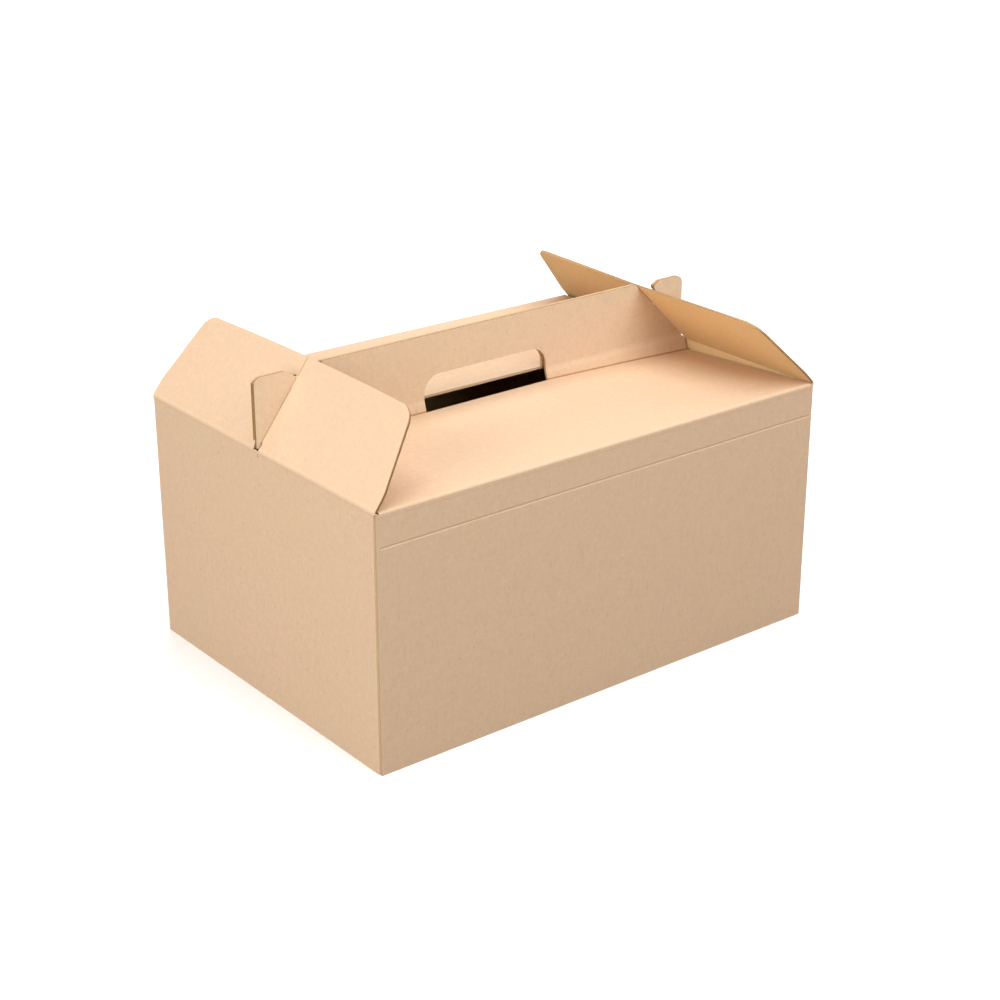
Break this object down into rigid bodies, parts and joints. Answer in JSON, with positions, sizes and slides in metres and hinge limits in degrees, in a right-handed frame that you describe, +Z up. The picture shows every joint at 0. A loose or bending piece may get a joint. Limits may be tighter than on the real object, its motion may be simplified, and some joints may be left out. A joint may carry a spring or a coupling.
{
  "type": "meal box",
  "caption": "Carry-out meal box folded from thin corrugated board, with a double handle whose hooks lock through slotted end flaps.",
  "frame": {"origin": "middle of the box's footprint, on the ground", "axes": "+X along the long walls to the right, +Y from the front wall to the back wall, +Z up through the handle"},
  "size_m": [0.314, 0.222, 0.1959],
  "materials": {
    "kraft_board": "matt uncoated kraft liner on micro-flute board"
  },
  "bodies": {
    "box": {"carton": "kraft_board"},
    "left_flap": {"left_end_flap": "kraft_board"},
    "right_flap": {"right_end_flap": "kraft_board"}
  },
  "joints": [
    {"name": "left_flap_hinge", "type": "hinge", "parent": "box", "child": "left_flap", "pos_m": [-0.157, 0, 0.15], "axis": [0, -1, 0], "range_deg": [0, 210]},
    {"name": "right_flap_hinge", "type": "hinge", "parent": "box", "child": "right_flap", "pos_m": [0.157, 0, 0.15], "axis": [0, 1, 0], "range_deg": [0, 218]}
  ]
}
